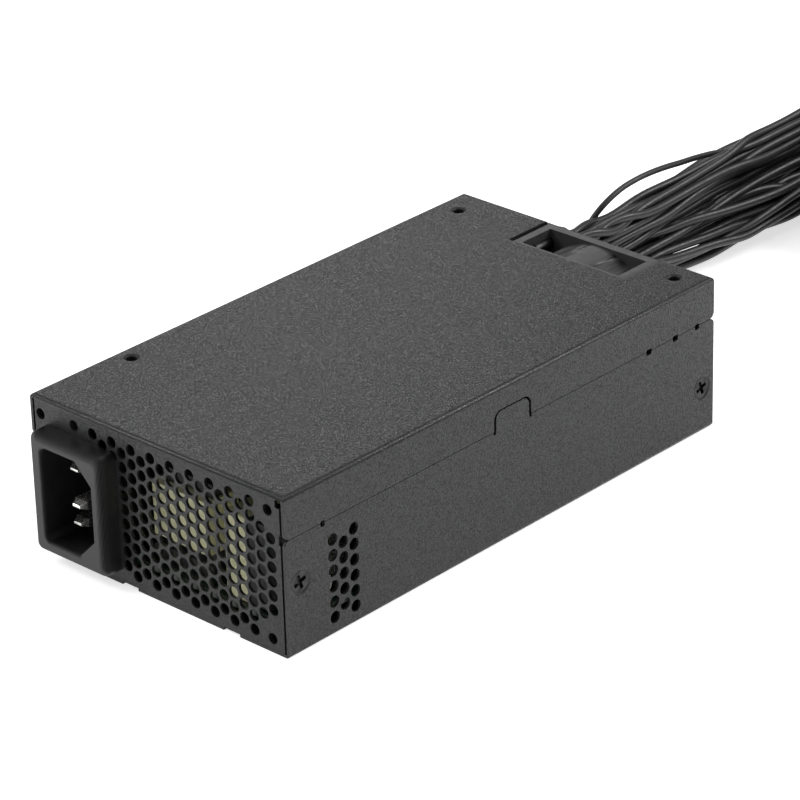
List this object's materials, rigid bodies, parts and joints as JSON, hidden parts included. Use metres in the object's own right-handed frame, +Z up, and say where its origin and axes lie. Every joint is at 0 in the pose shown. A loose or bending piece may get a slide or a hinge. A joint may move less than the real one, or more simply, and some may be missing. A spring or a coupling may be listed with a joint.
{
  "type": "computer power supply unit",
  "caption": "Slim metal-cased computer power supply with a mains inlet and vent grille at one end, a small fan at the other, and a folded low voltage harness.",
  "frame": {"origin": "centre of the case's bottom face", "axes": "+Z up out of the bottom face, +Y along the case from the mains inlet to the fan and harness, +X across the case"},
  "size_m": [0.0821, 0.3689, 0.0405],
  "materials": {
    "case_coating": "textured black powder coat",
    "black_screws": "black zinc",
    "insulator_film": "thin film",
    "inlet_plastic": "moulded satin",
    "plated_contacts": "nickel plated",
    "lead_brown": "vinyl",
    "lead_blue": "vinyl",
    "lead_green": "vinyl",
    "fan_plastic": "moulded",
    "bearing_brass": "sintered",
    "copper_winding": "enamelled copper",
    "circuit_board": "solder mask",
    "ferrite": "ground ferrite",
    "shaft_steel": "ground",
    "fan_lead": "vinyl",
    "plug_white": "moulded nylon",
    "yellow_tape": "polyester tape",
    "component_black": "moulded epoxy",
    "capacitor_blue": "dipped ceramic",
    "fuse_ceramic": "ceramic",
    "capacitor_sleeve": "shrink sleeve",
    "toroid_green": "coated powder core",
    "heatsink_aluminium": "mill finish",
    "grommet_rubber": "moulded",
    "wire_black": "vinyl, soft sheen",
    "connector_black": "moulded nylon"
  },
  "bodies": {
    "case": {"chassis": "case_coating", "cover": "case_coating", "case_screws": "black_screws", "insulator_sheet": "insulator_film", "inlet_body": "inlet_plastic", "inlet_pin_line": "plated_contacts", "inlet_pin_neutral": "plated_contacts", "inlet_pin_earth": "plated_contacts", "mains_lead_line": "lead_brown", "mains_lead_neutral": "lead_blue", "earth_lead": "lead_green", "earth_terminal": "plated_contacts", "earth_screw": "black_screws", "fan_frame": "fan_plastic", "fan_bearing": "bearing_brass", "fan_stator": "copper_winding", "fan_board": "circuit_board", "fan_guard": "black_screws", "fan_screws": "black_screws", "fan_lead": "fan_lead", "fan_plug": "plug_white", "main_board": "circuit_board", "board_standoffs": "plated_contacts", "board_screws": "plated_contacts", "filter_choke_core": "ferrite", "filter_choke_winding": "yellow_tape", "filter_choke_base": "component_black", "x_capacitor": "yellow_tape", "inrush_relay": "component_black", "y_capacitors": "capacitor_blue", "fuse": "fuse_ceramic", "bridge_rectifier": "component_black", "bulk_capacitor": "capacitor_sleeve", "pfc_choke_core": "toroid_green", "pfc_choke_winding": "copper_winding", "primary_heatsink": "heatsink_aluminium", "primary_transistors": "component_black", "transformer_core": "ferrite", "transformer_winding": "yellow_tape", "standby_transformer": "yellow_tape", "secondary_heatsink": "heatsink_aluminium", "output_rectifiers": "component_black", "output_choke_core": "toroid_green", "output_choke_winding": "copper_winding", "output_capacitors": "capacitor_sleeve", "control_board": "circuit_board", "output_board": "circuit_board", "cable_grommet": "grommet_rubber", "main_cable": "wire_black", "cpu_cable": "wire_black", "drive_cable": "wire_black", "main_connector": "connector_black", "cpu_connector_a": "connector_black", "cpu_connector_b": "connector_black", "drive_connector": "connector_black", "cable_tie": "connector_black"},
    "fan_rotor": {"fan_rotor": "fan_plastic", "fan_magnet": "ferrite", "fan_shaft": "shaft_steel"}
  },
  "joints": [
    {"name": "fan_spin", "type": "hinge", "parent": "case", "child": "fan_rotor", "pos_m": [0.0065, 0.0667, 0.0202], "axis": [0, 1, 0], "continuous": true}
  ]
}
